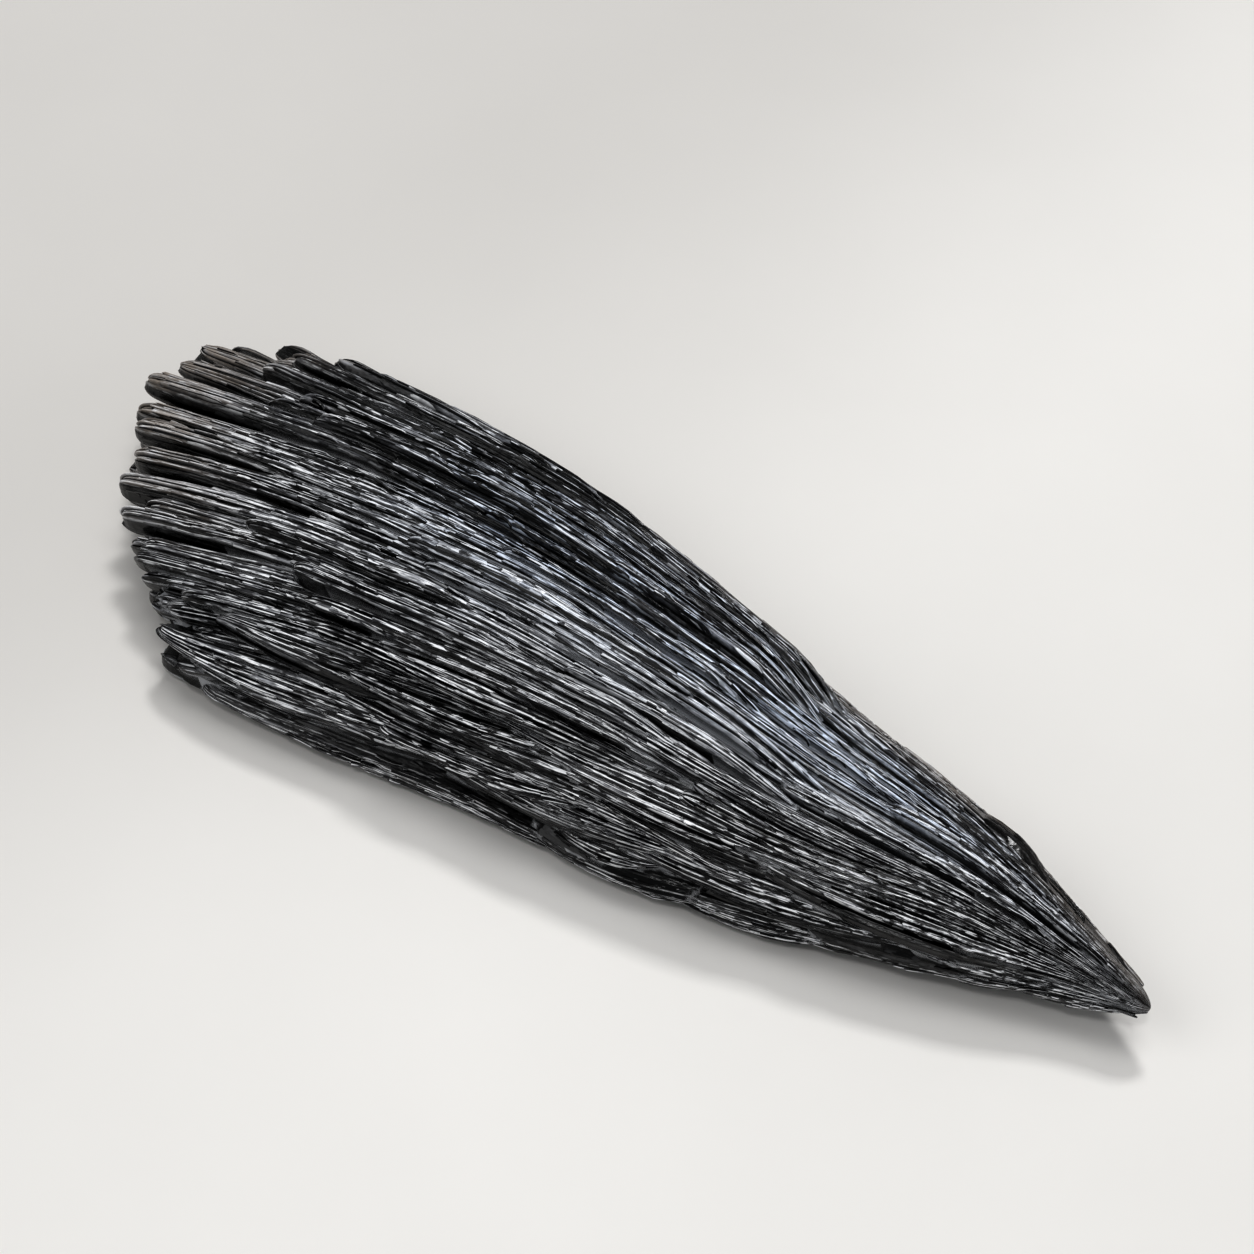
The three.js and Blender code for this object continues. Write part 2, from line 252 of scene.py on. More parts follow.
def flow_y(x, flow):
    return mix(front_flow(x), back_flow(x), (flow + 1) / 2)


def flow_width(x):
    return back_flow(x) - front_flow(x)


def span(x):
    """The middle and the half width of the outline at a place along it."""
    return (back_edge(x) + front_edge(x)) / 2, (back_edge(x) - front_edge(x)) / 2


def across(x, y):
    """Place across the body, almost -1 at the front edge and almost 1 at the back edge."""
    middle, half = span(x)
    return np.clip((y - middle) / half, -EDGE_LIMIT, EDGE_LIMIT)


def shoulder(x, e):
    return mix(front_shoulder(x), back_shoulder(x), (e + 1) / 2)


# How the body's height falls from its middle to its edges, as the two powers of arch().
STEEP_FRONT = (3.4, 0.62)
GENTLE_BACK = (2.2, 0.8)
UNDERSIDE = (3, 0.6)


def arch(e, powers):
    return (1 - np.abs(e) ** powers[0]) ** powers[1]


def top_z(x, y):
    e = across(x, y)
    high = np.where(e < 0, arch(e, STEEP_FRONT), arch(e, GENTLE_BACK))
    return shoulder(x, e) + (crest(x) - shoulder(x, e)) * high


def bottom_z(x, y):
    """Height of the underside, which curves up to the two edges."""
    e = across(x, y)
    return shoulder(x, e) - (shoulder(x, e) - belly(x)) * arch(e, UNDERSIDE)


def unit(v):
    return v / np.maximum(np.linalg.norm(v, axis=-1, keepdims=True), 1e-9)


def surface_normal(height, x, y, up):
    """Unit normal of the top or the bottom at a place, from small differences."""
    d = SLOPE_STEP
    dx = (height(x + d, y) - height(x - d, y)) / (2 * d)
    dy = (height(x, y + d) - height(x, y - d)) / (2 * d)
    return unit(side_by_side(-dx, -np.clip(dy, -STEEPEST, STEEPEST), 1.0)) * up


def place(x, b):
    """Points on the surface that a blade follows, and the outward directions there. A blade
    along an edge bulges out in its middle."""
    kind = b["place"]
    if kind in ("front", "back"):
        side = -1 if kind == "front" else 1
        t = np.clip((b["start"] - x) / (b["start"] - b["end"]), 0, 1)
        bulge = b["bulge"] * (np.sin(math.pi * t) - 0.5)
        middle, half = span(x)
        y = middle + side * half * (EDGE_REACH - EDGE_TUCK * b["level"] ** 2)
        z = top_z(x, y) if b["level"] > 0 else bottom_z(x, y)
        tilt = b["level"] * EDGE_FAN_OUT
        out = np.tile([0.0, side * math.cos(tilt), math.sin(tilt)], (len(x), 1))
        return side_by_side(x, y, z) + out * bulge[:, None], out
    y = flow_y(x, b["flow"])
    if kind == "top":
        return side_by_side(x, y, top_z(x, y)), surface_normal(top_z, x, y, 1)
    if kind == "bottom":
        return side_by_side(x, y, bottom_z(x, y)), surface_normal(bottom_z, x, y, -1)
    z = mix(bottom_z(x, y), top_z(x, y), b["level"])
    return side_by_side(x, y, z), np.tile([0.0, 0.0, b["facing"]], (len(x), 1))


# ---------- layout of the blades

FROM_TIP_X = 45  # a blade that starts beyond this comes from the tip; others rise out of the body
RIB_DIVE = 12  # length over which a rib rises
SHEAF_DIVE = 16
THIN_DIVE = 14
# How far a rib is moved off its even place, and how wide it is against its share.
FLOW_JITTER = 0.3
END_SHORTER = 1.4
START_JITTER = 2
CLEAR_OF_TIP = 0.6
RIB_OVERLAP = 1.25
OVERLAP_JITTER = 0.2
SHEAF_JITTER = dict(end=0.8, start=3, lift=0.2)
SHEAF_WIDTH = 0.62
OUTLINE_MARGIN = 0.5
FLOW_END_STEP = 0.5
SHORTEST_RIB = 12
EDGE_WIDTH = 4.4
EDGE_DEPTH = 3.6
TIP_DEPTH = 2.0
TIP_LIFT = 0.15
SHORT_OF_TIP_LIFT = 0.6
END_JITTER = (-0.6, 0.5)  # how far a top blade's end is moved
UNDERSIDE_SHORTER = 1.6  # how much sooner the underside's blades stop
HALF_SHORTER = (1.0, 2.6)  # how much sooner the halves of a split heart blade stop
HALF_LEVEL = 0.07
MIRROR_DROP = 0.3  # how much lower the downward copies of the heart's blades lie
MIRROR_DEPTH = 1.8


def flow_end(flow):
    """The x where a flow line runs out of the outline."""
    x = 30.0
    while x > FAN_X:
        y = flow_y(x, flow)
        outside = y > back_edge(x) - OUTLINE_MARGIN or y < front_edge(x) + OUTLINE_MARGIN
        if outside or x < fan_end(y):
            return x
        x -= FLOW_END_STEP
    return FAN_X


def blade_spec(place, **values):
    """What one blade is made from. What isn't given is as for a plain rib."""
    plain = dict(place=place, level=None, depth=RIB_DEPTH, lift=0, drop=0, dive=0, lens=False,
                 sheaf=False, facing=1.0)
    return dict(plain, **values)


def rib_list(draw):
    """The CAD part's ribs and sheaves, from the same random numbers in the same order."""
    def spread(amount):
        return (draw() * 2 - 1) * amount

    made = []
    for row in RIB_ROWS:
        for i in range(row["count"]):
            flow = ((i + 0.5) / row["count"]) * 2 - 1 + spread(FLOW_JITTER / row["count"])
            end = flow_end(flow) + draw() * END_SHORTER
            start = row["starts"][i % len(row["starts"])] + spread(START_JITTER)
            start = min(start, TIP_X - CLEAR_OF_TIP)
            width = (flow_width(end) / row["count"]) * (RIB_OVERLAP + spread(OVERLAP_JITTER))
            lift = 0 if row["place"] == "heart" else spread(RIB_RELIEF)
            low = row["place"] == "top" and flow < STEP_FLOW
            if start - end > SHORTEST_RIB:
                made.append(blade_spec(
                    row["place"], flow=flow, level=row.get("level"), start=start, end=end,
                    width=width, lift=lift, drop=STEP_DROP if low else 0,
                    dive=0 if start > FROM_TIP_X else RIB_DIVE,
                ))
    for sheaf in SHEAVES:
        for i in range(sheaf["count"]):
            flow = sheaf["flow"] + sheaf["turn"] * i
            end = sheaf["end"] + sheaf["back"] * i + spread(SHEAF_JITTER["end"])
            end = max(end, flow_end(flow))
            made.append(blade_spec(
                "top", flow=flow, start=sheaf["start"] + spread(SHEAF_JITTER["start"]), end=end,
                width=flow_width(end) * abs(sheaf["turn"]) * SHEAF_WIDTH,
                lift=sheaf["lift"] + spread(SHEAF_JITTER["lift"]), dive=SHEAF_DIVE, sheaf=True,
            ))
    return made


def edge_list(kind, table):
    return [
        blade_spec(kind, start=start, end=end, level=level, bulge=bulge, width=EDGE_WIDTH,
                   depth=EDGE_DEPTH, lens=True)
        for start, end, level, bulge in table
    ]


def tip_list():
    return [
        blade_spec("top", flow=flow, start=start, end=end, width=width, depth=TIP_DEPTH,
                   lift=TIP_LIFT if start > FROM_TIP_X else SHORT_OF_TIP_LIFT)
        for flow, start, end, width in TIP_BLADES
    ]


def thin_sheaf_list():
    return [
        blade_spec("top", flow=flow, start=start, end=end, width=width, lift=lift,
                   drop=STEP_DROP if flow < STEP_FLOW else 0,
                   dive=min(THIN_DIVE, (start - end) / 2))
        for flow, start, end, width, lift in THIN_SHEAVES
    ]


def split_in_two(spec):
    """Two narrower blades side by side in place of one, stopping at different places."""
    return [
        dict(spec, flow=spec["flow"] + hand * spec["width"] * 0.25 / 20,
             width=spec["width"] * 0.66, end=spec["end"] + rng.uniform(*HALF_SHORTER),
             level=spec["level"] + rng.uniform(-HALF_LEVEL, HALF_LEVEL))
        for hand in (-1, 1)
    ]


def layout():
    """Every blade of the body."""
    specs = rib_list(random_stream(SEED))
    specs += edge_list("front", FRONT_BLADES) + edge_list("back", BACK_BLADES)
    specs += edge_list("front", FRONT_FLANK) + edge_list("back", BACK_FLANK)
    specs += tip_list() + thin_sheaf_list()
    for spec in specs:
        if spec["place"] == "top":
            spec["end"] += rng.uniform(*END_JITTER)
        elif spec["place"] == "bottom":
            spec["end"] += UNDERSIDE_SHORTER
    specs = [
        part for spec in specs
        for part in (split_in_two(spec) if spec["place"] == "heart" else [spec])
    ]
    mirrored = [
        dict(spec, facing=-1.0, level=spec["level"] - MIRROR_DROP, depth=MIRROR_DEPTH)
        for spec in specs if spec["place"] == "heart"
    ]
    return specs + mirrored


# ---------- one blade

rng = np.random.default_rng(7)

# Strands are the fine lines of growth along a blade, with a groove between each two.
STRAND_WIDTH = dict(top=0.45, bottom=0.65, heart=0.65, front=0.5, back=0.5)
STATION_STEP = dict(top=0.8, bottom=1.5, heart=1.5, front=1.0, back=1.0)
STRAND_STEP = 0.13  # how far a piece of a strand lies above or below the blade's face
STRAND_PIECES = 61
DEEP_SHARE = 0.3  # share of the grooves that are deep
DEEP_GROOVE = (0.4, 0.8)
SHALLOW_GROOVE = (0.12, 0.28)
GROOVE_SIDE = 0.3  # share of a strand's width that slopes into the groove beside it

RIB_SLIM = 0.86  # width of a blade on top, as a share of the CAD part's
NARROWEST = 0.16  # width near the tip, as a share of the widest
FINGER_GAP = 0.3  # how much narrower a blade gets in its last stretch, so that gaps open
FINGER_STRETCH = (16, 2)
SWELL = 0.07  # how much a blade's width comes and goes
SWAY_MM = 0.16  # how far a blade on top sways from side to side
SHEAF_RAISE = 0.3
RAISE_MM = 0.35
ROLL = 0.16  # how far a blade leans to one side, as a slope
BURIED_WIDTH = 0.35  # width of a blade before it rises, as a share
BURIED_MM = 2.2  # how deep it starts
ROOM_SHARE = 0.6  # how much of the body's thickness a blade may take
STEP_FROM_X = -8  # where the front group starts to drop, and where it has dropped
STEP_TO_X = -26

# A blade's outline in section: place across, and height as a share of its depth.
PROFILE_S = np.array([-0.5, -0.45, -0.38, -0.26, -0.1, 0.1, 0.26, 0.38, 0.45, 0.5])
PROFILE_H = np.array([-0.5, -0.27, -0.13, -0.04, 0.0, 0.0, -0.05, -0.14, -0.28, -0.5])


class Blade:
    """One blade of the body: where its skin is for any place along and across it."""

    def __init__(self, spec):
        self.spec = spec
        on_top = spec["place"] == "top"
        self.length = spec["start"] - spec["end"]
        self.sway = rng.uniform(0, 2 * math.pi, 3)
        self.sway_mm = SWAY_MM if on_top else 0.0
        x = np.linspace(spec["start"], spec["end"] + 0.6, 60)
        self.widest = float(self.width_at(x).max())
        self.strands = max(3, int(round(self.widest / STRAND_WIDTH[spec["place"]])))
        share = np.cumsum(np.append(0, rng.gamma(7, 1, self.strands)))
        self.edges = share / share[-1] - 0.5
        count = self.strands + 1
        self.groove = np.where(
            rng.uniform(0, 1, count) < DEEP_SHARE,
            rng.uniform(*DEEP_GROOVE, count), rng.uniform(*SHALLOW_GROOVE, count))
        self.phase = rng.uniform(0, 2 * math.pi, count)
        self.breaks = [
            (np.cumsum(rng.gamma(2.0, 3.0, STRAND_PIECES - 1) + 1),
             rng.uniform(-1, 1, STRAND_PIECES))
            for _ in range(self.strands)
        ]
        self.ragged = rng.uniform(-1, 1, self.strands)
        self.roll = rng.uniform(-ROLL, ROLL)
        self.raise_mm = rng.uniform(-RAISE_MM, RAISE_MM) if on_top else 0.0
        if spec["sheaf"]:
            self.raise_mm = SHEAF_RAISE

    def rise_at(self, x):
        """0 where the blade is still down in the body, to 1 once it has come up."""
        b = self.spec
        return smooth(0, b["dive"], b["start"] - x) if b["dive"] else np.ones_like(x)

    def width_at(self, x):
        b = self.spec
        if b["lens"]:
            t = (b["start"] - x) / self.length
            taper = 0.25 + 0.75 * np.sin(math.pi * np.clip(t, 0.06, 0.94))
            widest = np.minimum(b["width"], (crest(x) - belly(x)) * 0.6)
        else:
            taper = np.maximum(NARROWEST, (flow_width(x) / flow_width(b["end"])) ** 0.85)
            gap_from, gap_to = (b["end"] + reach for reach in FINGER_STRETCH)
            taper = taper * (1 - FINGER_GAP * smooth(gap_from, gap_to, x))
            widest = b["width"] * (RIB_SLIM if b["place"] == "top" else 1)
            widest = widest * (1 + SWELL * np.sin(x / 5.2 + self.sway[0]))
        return widest * taper * mix(BURIED_WIDTH, 1, self.rise_at(x))

    def frames(self, x):
        """For places along the blade: the middle of its face, the directions along, across and
        out of it, its width and depth, and how high its face lies."""
        b = self.spec
        point, out = place(x, b)
        ahead, _ = place(x - 0.5, b)
        along = unit(ahead - point)
        side = unit(np.cross(out, along))
        up = unit(np.cross(along, side))
        rise = self.rise_at(x)
        if b["lens"]:
            room = (crest(x) - belly(x)) * 0.75
        else:
            room = top_z(x, point[:, 1]) - bottom_z(x, point[:, 1])
        depth = np.minimum(b["depth"], room * ROOM_SHARE)
        drop = b["drop"] * smooth(STEP_FROM_X, STEP_TO_X, x)
        height = (b["lift"] + self.raise_mm) * rise - drop - (1 - rise) * BURIED_MM
        swing = np.sin(x / 6.5 + self.sway[1]) + 0.3 * np.sin(x / 2.6 + self.sway[2])
        swing = swing * self.sway_mm * np.clip(self.width_at(x) / self.widest, 0, 1)
        point = point + side * swing[:, None]
        return point, along, side, up, self.width_at(x), depth, height

    def strand_at(self, s):
        return np.clip(np.searchsorted(self.edges, s, side="right") - 1, 0, self.strands - 1)

    def striation(self, x, s, width):
        """Height in mm of the strands at places x, s; the place from one groove (-1) to the next
        (1), turned about on every other strand; and each piece of strand's own number, 0 to 1."""
        k = self.strand_at(s)
        left, right = self.edges[k], self.edges[k + 1]
        f = (s - left) / (right - left)
        travelled = self.spec["start"] - x
        own = np.empty_like(x)
        for strand, (cuts, values) in enumerate(self.breaks):
            here = k == strand
            own[here] = values[np.searchsorted(cuts, travelled[here])]
        down = np.zeros_like(x)
        before, after = 1 - f / GROOVE_SIDE, (f - 1 + GROOVE_SIDE) / GROOVE_SIDE
        for groove, reach in ((k, before), (k + 1, after)):
            wave = 0.6 + 0.4 * np.sin(travelled / 5 + self.phase[groove])
            down += self.groove[groove] * wave * np.clip(reach, 0, 1)
        narrow = np.clip(width / self.widest, 0.2, 1)
        height = (own * STRAND_STEP - down) * narrow**0.8
        return height, (2 * f - 1) * np.where(k % 2, -1, 1), own * 0.5 + 0.5

    def skin(self, x, s):
        """Points on the outer skin at places x along and s across, the directions along, across
        and out of the blade there, its width, and marks as MeshMaker.lofts takes them."""
        shape = x.shape
        xf, sf = x.ravel(), s.ravel()
        point, along, side, up, width, depth, height = self.frames(xf)
        profile = np.interp(sf, PROFILE_S, PROFILE_H)
        relief, between, own = self.striation(xf, sf, width)
        lift = height + profile * depth + relief + sf * self.roll * width
        skin = point + side * (sf * width)[:, None] + up * lift[:, None]
        mark = side_by_side(between, np.clip(-profile * depth, 0, 3), own)
        return tuple(v.reshape(*shape, -1) for v in (skin, along, side, up, width[:, None], mark))


def store(mesh, name, values):
    """Stores a number or a vector for each vertex, for the material."""
    kind, key = ("FLOAT", "value") if values.ndim == 1 else ("FLOAT_VECTOR", "vector")
    attribute = mesh.attributes.new(name, kind, "POINT")
    attribute.data.foreach_set(key, values.astype(np.float32).ravel())


def read(items, key, width, kind=np.float32):
    """One property of all vertices, faces or corners, as rows of this width."""
    values = np.empty(len(items) * width, kind)
    items.foreach_get(key, values)
    return values.reshape(-1, width)


def coordinates(mesh):
    return read(mesh.vertices, "co", 3).astype(float)


class MeshMaker:
    """Gathers closed lofts into one mesh, with what the material needs on each vertex."""

    def __init__(self):
        self.points = []
        self.quads = []
        self.caps = []
        self.strand = []
        self.mark = []
        self.count = 0

    def lofts(self, grids, strands, marks):
        """Adds lofts, in arrays of lofts by stations by corners by 3. Each station is a closed
        section. strands: mm along, across and out of the growth. marks: -1 to 1 from groove to
        groove, mm deep between blades, and the number of its own that a strand's piece has."""
        lofts, rows, corners = grids.shape[:3]
        turn = faces_in(grids)[:, None, None, None]
        grids, strands, marks = (
            np.where(turn, values[:, :, ::-1], values) for values in (grids, strands, marks))
        index = np.arange(lofts * rows * corners).reshape(lofts, rows, corners) + self.count
        a, b = index[:, :-1], index[:, 1:]
        quads = np.stack([a, np.roll(a, -1, 2), np.roll(b, -1, 2), b], -1)
        self.points.append(grids.reshape(-1, 3))
        self.quads.append(quads.reshape(-1, 4))
        self.caps.extend(index[:, 0, ::-1].tolist())
        self.caps.extend(index[:, -1].tolist())
        self.strand.append(strands.reshape(-1, 3))
        self.mark.append(marks.reshape(-1, 3))
        self.count += lofts * rows * corners

    def build(self, name):
        mesh = bpy.data.meshes.new(name)
        faces = np.concatenate(self.quads).tolist() + self.caps
        mesh.from_pydata((np.concatenate(self.points) * MM).tolist(), [], faces)
        store(mesh, "strand", np.concatenate(self.strand))
        store(mesh, "mark", np.concatenate(self.mark))
        mesh.update()
        return mesh


def faces_in(grids):
    """Whether each loft, taken as it stands, would be inside out."""
    grids = grids - grids.mean((1, 2))[:, None, None]
    a, b = grids[:, :-1], grids[:, 1:]
    a_next, b_next = np.roll(a, -1, 2), np.roll(b, -1, 2)
    corners = a * np.cross(a_next, b_next), a * np.cross(b_next, b)
    volume = corners[0].sum((1, 2, 3)) + corners[1].sum((1, 2, 3))
    return volume < 0


# ---------- the lofts of the body

END_ROUND = 2.0  # length over which a blade's end is rounded
END_STATIONS = 5
TAIL_ROUNDING = 0.84  # how far round the ends go, 1 being to a point
HEAD_ROUNDING = 0.8
RAGGED_MM = 0.3  # how far the strands of a blade stop before or after each other

# Ridges along a blade's walls: how far down each lies, and its place between grooves.
WALL_STEPS = np.array([0.2, 0.4, 0.6, 0.8])
WALL_EDGE = np.array([0.4, 1.0, 0.4, 1.0])
WALL_RELIEF = 0.17
WALL_DEEP = 0.4
ROOT_MARK = np.array([1.0, 3.0, 0.3])

HEART_CORNERS = 180
HEART_STEPS = 60
HEART_END_X = -42.5
HEART_FURROW = (0.1, 0.45)
HEART_CORNER_MM = 0.3  # how far apart its corners lie for the markings
# How deep it lies under the blades in mm, and how much deeper between two places along it.
HEART_UNDER = dict(front_group=2.7, rest=1.8, tip=0.9)
HEART_SINKS = [(1.3, -27, -37), (2.0, -35, -42)]
# The most that may be, as a share of the thickness, before and after it has sunk.
HEART_MOST_ABOVE = (0.32, 0.66)
HEART_MOST_BELOW = (0.32, 0.16)
NOSE_MM = 1.6  # length over which the tip is rounded
NOISE_ROOM = 400  # mm within which each blade and crystal gets its own place in the noise


def rounded_stations(blade):
    """Places along a blade, closer together at its rounded ends, and how full it is there."""
    b = blade.spec
    rounding = np.linspace(0.25, 1, END_STATIONS)
    tail = END_ROUND * (1 - np.sin(rounding * math.pi / 2))
    head = 0.0 if b["dive"] else END_ROUND
    steps = max(4, int(round((blade.length - END_ROUND - head) / STATION_STEP[b["place"]])))
    x = np.linspace(b["start"] - head, b["end"] + END_ROUND, steps + 1)
    x = np.concatenate([x, b["end"] + tail])
    full = np.ones(len(x))
    full[-END_STATIONS:] = np.cos(rounding * math.pi / 2 * TAIL_ROUNDING)
    if head:
        x = np.concatenate([b["start"] - tail[::-1], x])
        full = np.concatenate([np.cos(rounding[::-1] * math.pi / 2 * HEAD_ROUNDING), full])
    return x, full


def blade_wall(blade, x, full, edge, axis, frames, hand):
    """One wall of a blade, from an edge of its skin down to its hidden root: the points, their
    marks, and how far across and down they lie. hand is 1 for the wall that follows the skin's
    last strand, and -1 for the one that comes round to its first."""
    _, _, side, up, width, depth, _ = frames
    root = axis + side * (hand * width * 0.22)[:, None] - up * (depth * 0.5 * full)[:, None]
    points = mix(edge[:, None], root[:, None], WALL_STEPS[:, None])
    relief = np.where(WALL_EDGE < 1, WALL_RELIEF, -WALL_RELIEF) * (width[:, None] / blade.widest)
    points = points + side[:, None] * (hand * relief * full[:, None])[:, :, None]
    own = 0.5 + 0.5 * np.sin(x[:, None] * 1.1 + WALL_STEPS * 9 + blade.sway[0])
    marks = side_by_side(WALL_EDGE, WALL_DEEP, own)
    points = np.concatenate([points, root[:, None]], 1)
    marks = np.concatenate([marks, np.broadcast_to(ROOT_MARK, (len(x), 1, 3))], 1)
    share = np.append(WALL_STEPS, 1.0)
    over, down = hand * (0.5 + 0.5 * share), 1.5 * share
    if hand > 0:
        return points, marks, over, down
    return points[:, ::-1], marks[:, ::-1], over[::-1], down[::-1]


def body_blade(blade):
    """The closed loft of one blade."""
    b = blade.spec
    x, full = rounded_stations(blade)
    span = np.diff(blade.edges)[:, None]
    s = (blade.edges[:-1, None] + span * np.array([0.0, GROOVE_SIDE, 1 - GROOVE_SIDE])).ravel()
    s = np.append(s, 0.5)
    frames = blade.frames(x)
    point, along, _, up, _, depth, height = frames
    skin, *_, mark = blade.skin(*np.meshgrid(x, s, indexing="ij"))
    # Rounded, ragged end: the last stations draw in, and each strand stops at its own place.
    near_end = smooth(b["end"] + 5, b["end"] + 1, x)
    ragged = blade.ragged[blade.strand_at(s)] * RAGGED_MM
    axis = point + up * (height - depth * 0.45)[:, None]
    skin = axis[:, None, :] + (skin - axis[:, None, :]) * full[:, None, None]
    skin = skin + along[:, None, :] * (near_end[:, None] * ragged[None, :])[:, :, None]
    walls = [
        blade_wall(blade, x, full, skin[:, edge], axis, frames, hand)
        for hand, edge in ((1, -1), (-1, 0))
    ]
    parts = [(skin, mark, s, 0 * s), *walls]
    points, marks, overs, downs = zip(*parts)
    over = np.concatenate(overs) * blade.widest + rng.uniform(0, NOISE_ROOM)
    strand = side_by_side(grain_x(x)[:, None], over, np.concatenate(downs))
    return np.concatenate(points, 1), strand, np.concatenate(marks, 1)


def heart_cover(x, y, thickness):
    """How far the heart lies under the body's top and over its bottom. It sinks away towards
    the fan end, where gaps open between the blades."""
    front_group = y < flow_y(x, STEP_FLOW)
    under = np.where(front_group, HEART_UNDER["front_group"], HEART_UNDER["rest"])
    under = mix(under, HEART_UNDER["tip"], smooth(-5, 20, x))
    for deeper, start, end in HEART_SINKS:
        under = under + deeper * smooth(start, end, x)
    sunk = smooth(-20, -34, x)
    above = np.minimum(under, thickness * mix(*HEART_MOST_ABOVE, sunk))
    below = np.minimum(under, thickness * mix(*HEART_MOST_BELOW, sunk))
    return above, below


def heart_grid():
    """The core under the blades, striated like them where it shows, and the blunt nose at the
    tip where it comes up to the surface."""
    turn = np.arange(HEART_CORNERS) / HEART_CORNERS * 2 * math.pi
    furrow = np.tile([0.0, 1.0], HEART_CORNERS // 2)
    depth = np.repeat(rng.uniform(*HEART_FURROW, HEART_CORNERS // 2), 2)
    phase = np.repeat(rng.uniform(0, 6, HEART_CORNERS // 2), 2)
    nose = TIP_X - NOSE_MM * (1 - np.sin(np.linspace(1, 0.15, 6) * math.pi / 2))
    stations = np.concatenate([nose, np.linspace(TIP_X - NOSE_MM - 0.5, HEART_END_X, HEART_STEPS)])
    rows = []
    marks = []
    for x in stations:
        front = front_edge(x) + 8 * smooth(-28, -46, x)
        back = back_edge(x) - 3 * smooth(-34, -46, x)
        half = (back - front) / 2
        buried = smooth(TIP_X - 3, TIP_X - 10, x)
        inset = min(HEART_INSET, half * 0.35) * buried
        dig = furrow * depth * (0.6 + 0.4 * np.sin(x / 4 + phase)) * smooth(-42, -32, x)
        dig = 1 - dig / max(half, 2.5)
        y = (back + front) / 2 + (half - inset) * np.cos(turn) * dig
        xs = np.full(HEART_CORNERS, x)
        top, bottom = top_z(xs, y), bottom_z(xs, y)
        above, below = heart_cover(x, y, top - bottom)
        roof, base = top - above * buried, bottom + below * buried
        share = np.clip(np.sin(turn) * 0.8 + 0.5, 0, 1)
        middle = (roof + base) / 2
        z = middle + (mix(base, roof, share) - middle) * dig
        rounded = math.sqrt(1 - min(max(x - TIP_X + NOSE_MM, 0) / NOSE_MM, 0.999) ** 2)
        centre = np.array([x, y.mean(), z.mean()])
        ring = side_by_side(xs, y, z)
        rows.append(centre + (ring - centre) * rounded)
        deep = mix(0.9, 0.3, smooth(-5, 20, x)) * buried
        marks.append(side_by_side(furrow, deep, 0.3))
    grid = np.array(rows)
    strand = side_by_side(grain_x(grid[..., 0]), np.arange(HEART_CORNERS) * HEART_CORNER_MM, 0.0)
    return grid, strand, np.array(marks)


GRAIN_FROM_X = 15
GRAIN_SHORTENING = 0.022


def grain_x(x):
    """Length along the growth as the markings see it: they get shorter towards the tip."""
    return x + GRAIN_SHORTENING * np.maximum(x - GRAIN_FROM_X, 0) ** 2


# ---------- one solid

GROUND_SLAB = ((-70, -40, -20), (70, 40, 0))  # what is cut away under the body


def object_from(data, collection=None):
    """An object of the same name as its mesh, light or camera."""
    obj = bpy.data.objects.new(data.name, data)
    (collection or bpy.context.scene.collection).objects.link(obj)
    return obj


def loft_mesh(name, grid, strand, mark):
    maker = MeshMaker()
    maker.lofts(grid[None], strand[None], mark[None])
    return maker.build(name)


def join_solids(grids, name):
    """One solid from many overlapping lofts, cut flat at the plane it lies on. Each loft comes
    as the grid, strand and mark of loft_mesh."""
    parts = bpy.data.collections.new("parts")
    bpy.context.scene.collection.children.link(parts)
    first = None
    for i, loft in enumerate(grids):
        obj = object_from(loft_mesh(f"{name}_{i}", *loft), parts if first else None)
        first = first or obj
    join = first.modifiers.new("join", "BOOLEAN")
    join.operation, join.solver = "UNION", "MANIFOLD"
    join.operand_type, join.collection = "COLLECTION", parts
    (x0, y0, z0), (x1, y1, z1) = GROUND_SLAB
    ends = [[[x, y0, z0], [x, y1, z0], [x, y1, z1], [x, y0, z1]] for x in (x0, x1)]
    slab = np.array(ends, float)
    cutter = object_from(loft_mesh("ground_cut", slab, slab, slab))
    cut = first.modifiers.new("cut", "BOOLEAN")
    cut.operation, cut.solver, cut.object = "DIFFERENCE", "MANIFOLD", cutter
    graph = bpy.context.evaluated_depsgraph_get()
    mesh = bpy.data.meshes.new_from_object(first.evaluated_get(graph))
    for obj in [*parts.objects, first, cutter]:
        bpy.data.objects.remove(obj)
    bpy.data.collections.remove(parts)
    mesh.name = name
    return mesh


def outer_skin(mesh):
    """Drops what is sealed inside: keeps only the connected skin that reaches the tip."""
    bm = bmesh.new()
    bm.from_mesh(mesh)
    tip = max(bm.verts, key=lambda vertex: vertex.co.x)
    skin, reached = {tip}, [tip]
    while reached:
        here = reached.pop()
        beside = {edge.other_vert(here) for edge in here.link_edges} - skin
        skin |= beside
        reached.extend(beside)
    sealed_in = [vertex for vertex in bm.verts if vertex not in skin]
    bmesh.ops.delete(bm, geom=sealed_in, context="VERTS")
    bm.to_mesh(mesh)
    bm.free()


specs = layout()
grids = [heart_grid()]
blades = []
for spec in specs:
    blades.append(Blade(spec))
    grids.append(body_blade(blades[-1]))
body_mesh = join_solids(grids, "kyanite_body")
outer_skin(body_mesh)

# ---------- fine crystals on the body

